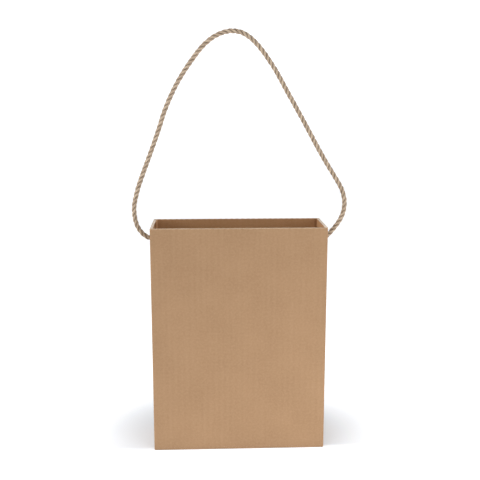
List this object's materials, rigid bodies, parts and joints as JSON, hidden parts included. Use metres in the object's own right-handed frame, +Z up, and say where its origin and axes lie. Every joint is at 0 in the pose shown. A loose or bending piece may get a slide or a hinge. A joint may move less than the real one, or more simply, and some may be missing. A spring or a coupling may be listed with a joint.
{
  "type": "gift bag",
  "caption": "Upright kraft gift bag of corrugated board, folded from one blank, with a looped rope handle knotted through the side panels",
  "frame": {"origin": "middle of the base, on the surface the bag stands on", "axes": "+Z up to the rim, +X along the front panel to the bag's right as seen from the front, the front panel faces -Y"},
  "size_m": [0.2394, 0.068, 0.4647],
  "materials": {
    "kraft_outside": "matt, unprinted",
    "kraft_inside": "matt, unprinted",
    "flute_paper": "matt, raw",
    "glue": "dull, dried",
    "rope": "matt, laid"
  },
  "bodies": {
    "root": {"front_outer_liner": "kraft_outside", "front_flute": "flute_paper", "front_inner_liner": "kraft_inside"},
    "right_side": {"right_outer_liner": "kraft_outside", "right_flute": "flute_paper", "right_inner_liner": "kraft_inside", "right_rope_stub": "rope", "right_knot": "rope", "right_tail": "rope"},
    "back": {"back_outer_liner": "kraft_outside", "back_flute": "flute_paper", "back_inner_liner": "kraft_inside"},
    "left_side": {"left_outer_liner": "kraft_outside", "left_flute": "flute_paper", "left_inner_liner": "kraft_inside", "glue_tab": "kraft_inside", "glue_line": "glue", "left_rope_stub": "rope", "left_knot": "rope", "left_tail": "rope"},
    "front_flap": {"front_flap_outer_liner": "kraft_outside", "front_flap_flute": "flute_paper", "front_flap_inner_liner": "kraft_inside"},
    "back_flap": {"back_flap_outer_liner": "kraft_outside", "back_flap_flute": "flute_paper", "back_flap_inner_liner": "kraft_inside"},
    "left_flap": {"left_flap_outer_liner": "kraft_outside", "left_flap_flute": "flute_paper", "left_flap_inner_liner": "kraft_inside"},
    "right_flap": {"right_flap_outer_liner": "kraft_outside", "right_flap_flute": "flute_paper", "right_flap_inner_liner": "kraft_inside"},
    "rope_pivot": {"rope_end": "rope"},
    "handle": {"rope_loop": "rope"}
  },
  "joints": [
    {"name": "fold_flat", "type": "hinge", "parent": "root", "child": "right_side", "pos_m": [0.096, -0.034, 0], "axis": [0, 0, -1], "range_deg": [0, 50]},
    {"name": "left_fold", "type": "hinge", "parent": "root", "child": "left_side", "pos_m": [-0.093, -0.031, 0], "axis": [0, 0, -1], "range_deg": [0, 50]},
    {"name": "back_fold", "type": "hinge", "parent": "right_side", "child": "back", "pos_m": [0.093, 0.031, 0], "axis": [0, 0, 1], "range_deg": [0, 50]},
    {"name": "front_flap_fold", "type": "hinge", "parent": "root", "child": "front_flap", "pos_m": [0, -0.031, 0.003], "axis": [1, 0, 0], "range_deg": [0, 62.5]},
    {"name": "back_flap_fold", "type": "hinge", "parent": "back", "child": "back_flap", "pos_m": [0, 0.031, 0.003], "axis": [-1, 0, 0], "range_deg": [0, 62.5]},
    {"name": "left_flap_fold", "type": "hinge", "parent": "left_side", "child": "left_flap", "pos_m": [-0.093, 0, 0.0061], "axis": [0, -1, 0], "range_deg": [0, 85]},
    {"name": "right_flap_fold", "type": "hinge", "parent": "right_side", "child": "right_flap", "pos_m": [0.093, 0, 0.0061], "axis": [0, 1, 0], "range_deg": [0, 85]},
    {"name": "handle_turn", "type": "hinge", "parent": "left_side", "child": "rope_pivot", "pos_m": [-0.099, 0, 0.238], "axis": [0, 0, 1], "range_deg": [0, 48]},
    {"name": "handle_tilt", "type": "hinge", "parent": "rope_pivot", "child": "handle", "pos_m": [-0.099, 0, 0.238], "axis": [1, 0, 0], "range_deg": [-35, 35]}
  ],
  "couplings": [
    {"joint": "left_fold", "follows": "fold_flat", "ratio": 1},
    {"joint": "back_fold", "follows": "fold_flat", "ratio": 1},
    {"joint": "front_flap_fold", "follows": "fold_flat", "ratio": 1.25},
    {"joint": "back_flap_fold", "follows": "fold_flat", "ratio": 1.25},
    {"joint": "left_flap_fold", "follows": "fold_flat", "ratio": 1.7},
    {"joint": "right_flap_fold", "follows": "fold_flat", "ratio": 1.7},
    {"joint": "handle_turn", "follows": "fold_flat", "ratio": 0.954}
  ]
}
